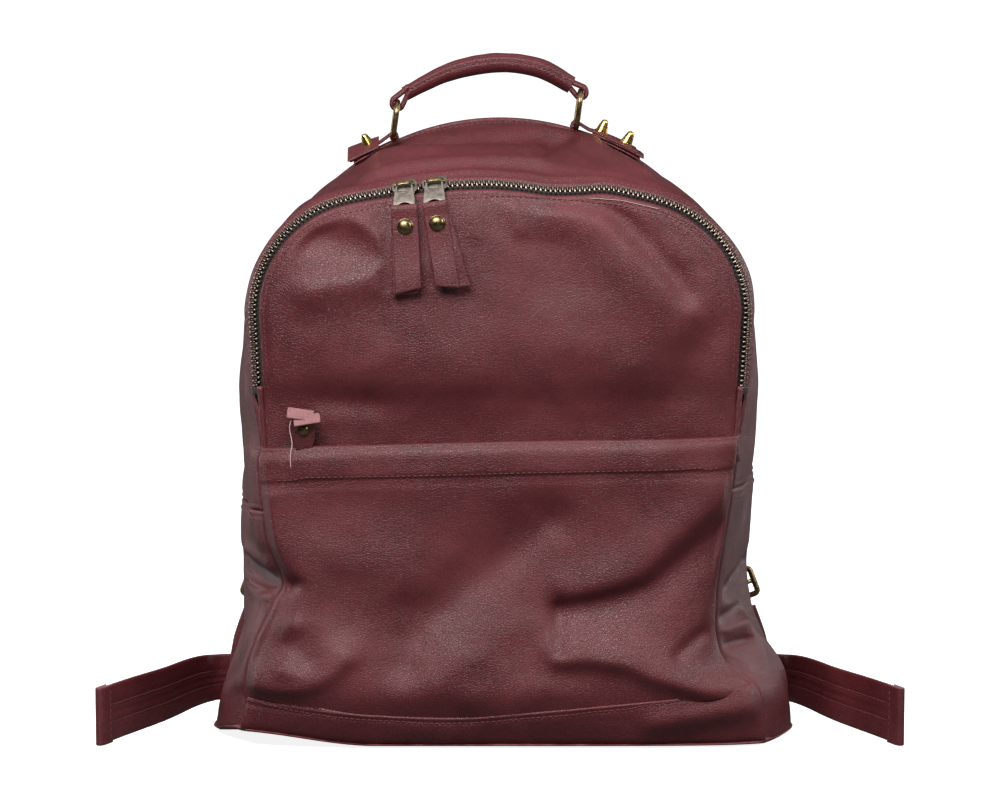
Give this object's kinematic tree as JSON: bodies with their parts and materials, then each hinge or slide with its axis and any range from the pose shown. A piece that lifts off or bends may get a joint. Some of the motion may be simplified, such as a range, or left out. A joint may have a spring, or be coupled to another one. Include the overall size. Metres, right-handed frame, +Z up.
{
  "type": "backpack",
  "caption": "Dome-topped soft leather backpack with an arched two-slider main zip, a zipped front pocket, a rolled carry handle on rings, shoulder straps and strap tails.",
  "frame": {"origin": "centre of the underside of the base, on the floor", "axes": "+X to the right as seen from the front, the front faces -Y, +Z up"},
  "size_m": [0.5162, 0.188, 0.4323],
  "materials": {
    "leather": "soft pebbled, semi-matte",
    "lining": "matt woven",
    "board": "stiff felt board",
    "tape": "black woven tape",
    "cord": "twisted cotton cord",
    "chain": "dark oxidised",
    "steel": "gunmetal",
    "brass": "antique",
    "gold": "bright"
  },
  "bodies": {
    "bag": {"back_panel": "leather", "gusset_upper": "leather", "side_panel_left": "leather", "side_panel_right": "leather", "base_panel": "leather", "front_panel_lower": "leather", "pocket_panel": "leather", "pocket_base_band": "leather", "handle_tab_left": "leather", "handle_tab_right": "leather", "lower_strap_left": "leather", "lower_strap_right": "leather", "lining_gusset": "lining", "lining_back": "lining", "lining_front_lower": "lining", "base_board": "board", "main_zip_tape_back": "tape", "pocket_zip_tape_upper": "tape", "pocket_zip_tape_lower": "tape", "main_zip_teeth_back": "chain", "pocket_zip_teeth_upper": "chain", "pocket_zip_teeth_lower": "chain", "zip_stop_left": "steel", "zip_stop_right": "steel", "strap_buckle_left": "brass", "strap_buckle_right": "brass", "stud_left": "gold", "stud_right_inner": "gold", "stud_right_outer": "gold"},
    "front_flap": {"front_panel_upper": "leather", "lining_front_upper": "lining", "main_zip_tape_front": "tape", "main_zip_teeth_front": "chain"},
    "slider_left": {"slider_left": "steel"},
    "slider_right": {"slider_right": "steel"},
    "pull_left": {"pull_left": "steel"},
    "pull_right": {"pull_right": "steel"},
    "puller_left": {"puller_left": "leather", "puller_left_rivet": "brass"},
    "puller_right": {"puller_right": "leather", "puller_right_rivet": "brass"},
    "pocket_slider": {"pocket_slider": "steel", "pocket_pull": "steel"},
    "pocket_puller": {"pocket_puller": "leather", "pocket_puller_rivet": "brass"},
    "handle_ring_left": {"handle_ring_left": "brass"},
    "handle_ring_right": {"handle_ring_right": "brass"},
    "handle": {"handle_grip": "leather", "handle_cord": "cord", "handle_tail_left": "leather", "handle_tail_right": "leather"},
    "shoulder_strap_left": {"shoulder_strap_left": "leather"},
    "shoulder_strap_right": {"shoulder_strap_right": "leather"},
    "strap_tail_left": {"strap_tail_left": "leather"},
    "strap_tail_right": {"strap_tail_right": "leather"}
  },
  "joints": [
    {"name": "front_flap_open", "type": "hinge", "parent": "bag", "child": "front_flap", "pos_m": [0, -0.069, 0.219], "axis": [1, 0, 0], "range_deg": [0, 90]},
    {"name": "slider_left_run", "type": "hinge", "parent": "front_flap", "child": "slider_left", "pos_m": [0, -0.0585, -0.119], "axis": [0, 1, 0], "range_deg": [-4, 0]},
    {"name": "pull_left_lift", "type": "hinge", "parent": "slider_left", "child": "pull_left", "pos_m": [-0.06102, -0.06204, 0.36067], "axis": [-0.992, 0, -0.1262], "range_deg": [0, 100]},
    {"name": "puller_left_lift", "type": "hinge", "parent": "pull_left", "child": "puller_left", "pos_m": [-0.06102, -0.07188, 0.34755], "axis": [-0.9986, 0, -0.0523], "range_deg": [0, 70]},
    {"name": "slider_right_run", "type": "hinge", "parent": "front_flap", "child": "slider_right", "pos_m": [0, -0.0585, -0.119], "axis": [0, 1, 0], "range_deg": [0, 15]},
    {"name": "pull_right_lift", "type": "hinge", "parent": "slider_right", "child": "pull_right", "pos_m": [-0.04181, -0.06204, 0.36273], "axis": [-0.9963, 0, -0.0865], "range_deg": [0, 100]},
    {"name": "puller_right_lift", "type": "hinge", "parent": "pull_right", "child": "puller_right", "pos_m": [-0.04181, -0.07188, 0.3496], "axis": [-0.9877, 0, -0.1564], "range_deg": [0, 70]},
    {"name": "pocket_slider_run", "type": "slide", "parent": "bag", "child": "pocket_slider", "axis": [1, 0, 0], "range_m": [0, 0.245]},
    {"name": "pocket_puller_fold", "type": "hinge", "parent": "pocket_slider", "child": "pocket_puller", "pos_m": [-0.125, -0.0733, 0.1974], "axis": [1, 0, 0], "range_deg": [0, 45]},
    {"name": "handle_swing", "type": "hinge", "parent": "bag", "child": "handle_ring_left", "pos_m": [-0.069, 0.044, 0.37814], "axis": [0, 1, 0], "range_deg": [-25, 25]},
    {"name": "handle_ring_right_swing", "type": "hinge", "parent": "bag", "child": "handle_ring_right", "pos_m": [0.049, 0.044, 0.38518], "axis": [0, 1, 0], "range_deg": [-25, 25]},
    {"name": "handle_level", "type": "hinge", "parent": "handle_ring_left", "child": "handle", "pos_m": [-0.066, 0.044, 0.40014], "axis": [0, 1, 0], "range_deg": [-25, 25]},
    {"name": "shoulder_strap_left_swing", "type": "hinge", "parent": "bag", "child": "shoulder_strap_left", "pos_m": [-0.04, 0.068, 0.349], "axis": [-0.3671, 0.0257, -0.9298], "range_deg": [-22, 22]},
    {"name": "strap_tail_left_swing", "type": "hinge", "parent": "bag", "child": "strap_tail_left", "pos_m": [-0.179, 0.069, 0.0225], "axis": [0, 0, -1], "range_deg": [0, 100]},
    {"name": "shoulder_strap_right_swing", "type": "hinge", "parent": "bag", "child": "shoulder_strap_right", "pos_m": [0.04, 0.068, 0.349], "axis": [0.3671, 0.0257, -0.9298], "range_deg": [-22, 22]},
    {"name": "strap_tail_right_swing", "type": "hinge", "parent": "bag", "child": "strap_tail_right", "pos_m": [0.179, 0.069, 0.0225], "axis": [0, 0, 1], "range_deg": [0, 100]}
  ],
  "couplings": [
    {"joint": "handle_level", "follows": "handle_swing", "ratio": -1},
    {"joint": "handle_ring_right_swing", "follows": "handle_swing", "ratio": 1}
  ]
}
